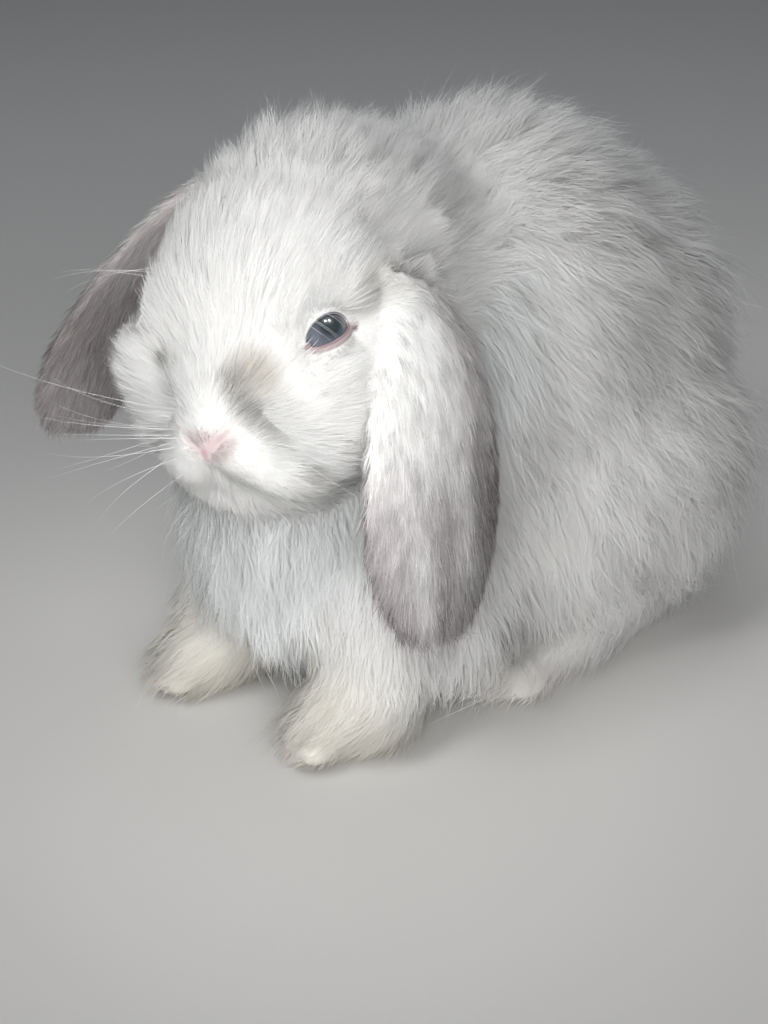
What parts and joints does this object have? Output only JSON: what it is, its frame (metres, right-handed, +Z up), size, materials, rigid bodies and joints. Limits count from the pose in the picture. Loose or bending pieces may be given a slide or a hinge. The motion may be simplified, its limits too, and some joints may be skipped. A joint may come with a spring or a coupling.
{
  "type": "lop rabbit",
  "caption": "Young miniature lop rabbit crouching on all fours, head raised and turned to its left, long ears hanging, white fluffy coat.",
  "frame": {"origin": "centre of the bounding box's base, on the floor under the belly", "axes": "+Z up, the rabbit faces -Y, its left side is +X"},
  "size_m": [0.1542, 0.2402, 0.186],
  "materials": {
    "coat": "soft white fur with a faint bluish-grey shade",
    "ear_coat": "short silvery white fur, lilac-grey at the rims and tip",
    "eye": "wet, blue-grey iris round a dark pupil"
  },
  "bodies": {
    "root": {"head": "coat", "neck": "coat", "trunk": "coat", "tail": "coat", "foreleg_left": "coat", "foreleg_right": "coat", "forepaw_left": "coat", "forepaw_right": "coat", "thigh_left": "coat", "thigh_right": "coat", "hindfoot_left": "coat", "hindfoot_right": "coat", "ear_left": "ear_coat", "ear_right": "ear_coat", "eye_left": "eye", "eye_right": "eye"}
  },
  "joints": []
}
